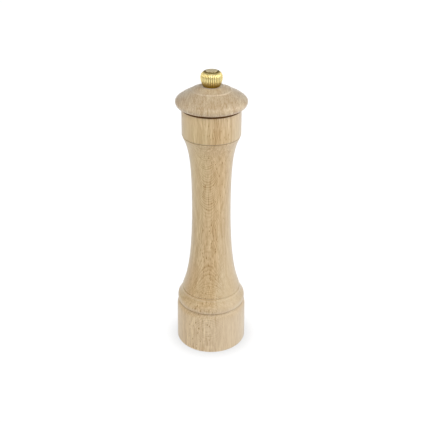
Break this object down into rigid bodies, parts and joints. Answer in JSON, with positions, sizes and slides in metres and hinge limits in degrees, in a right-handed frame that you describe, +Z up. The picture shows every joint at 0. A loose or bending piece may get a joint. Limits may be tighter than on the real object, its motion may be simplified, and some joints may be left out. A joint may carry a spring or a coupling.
{
  "type": "pepper mill",
  "caption": "Turned beech pepper mill with a narrow waist, an overhanging domed head that turns the grinder, and a fluted brass knob that sets the grind.",
  "frame": {"origin": "centre of the foot, on the surface the mill stands on", "axes": "+Z up along the turning axis, towards the knob; -Y towards the viewer of the picture"},
  "size_m": [0.054, 0.054, 0.2197],
  "materials": {
    "beech": "raw, fine sanded",
    "brass": "polished, lightly fluted",
    "steel": "drawn bar",
    "zinc_plated_steel": "zinc plated, satin",
    "hardened_steel": "hardened, oiled dark grey",
    "spring_steel": "drawn wire"
  },
  "bodies": {
    "mill_body": {"body": "beech", "grinder_ring": "hardened_steel", "bridge": "zinc_plated_steel", "retaining_plate": "zinc_plated_steel", "retaining_screw_1": "zinc_plated_steel", "retaining_screw_2": "zinc_plated_steel"},
    "spring_seat": {"thrust_washer": "zinc_plated_steel", "grinder_spring": "spring_steel"},
    "spindle": {"drive_shaft": "steel", "grinder_rotor": "hardened_steel", "rotor_washer": "zinc_plated_steel"},
    "mill_head": {"head": "beech", "driver_plate": "zinc_plated_steel", "driver_screw_1": "zinc_plated_steel", "driver_screw_2": "zinc_plated_steel"},
    "knob": {"adjusting_knob": "brass"}
  },
  "joints": [
    {"name": "head_turn", "type": "hinge", "parent": "mill_body", "child": "spring_seat", "pos_m": [0, 0, 0.0305], "axis": [0, 0, 1], "continuous": true},
    {"name": "grind_set", "type": "slide", "parent": "spring_seat", "child": "spindle", "axis": [0, 0, 1], "range_m": [0, 0.0012], "deforming": ["grinder_spring"]},
    {"name": "head_lift", "type": "slide", "parent": "spring_seat", "child": "mill_head", "axis": [0, 0, 1], "range_m": [0, 0.05]},
    {"name": "knob_turn", "type": "hinge", "parent": "mill_head", "child": "knob", "pos_m": [0, 0, 0.2143], "axis": [0, 0, -1], "range_deg": [0, 540]}
  ],
  "couplings": [
    {"joint": "knob_turn", "follows": "grind_set", "rad_per_m": 7854}
  ]
}
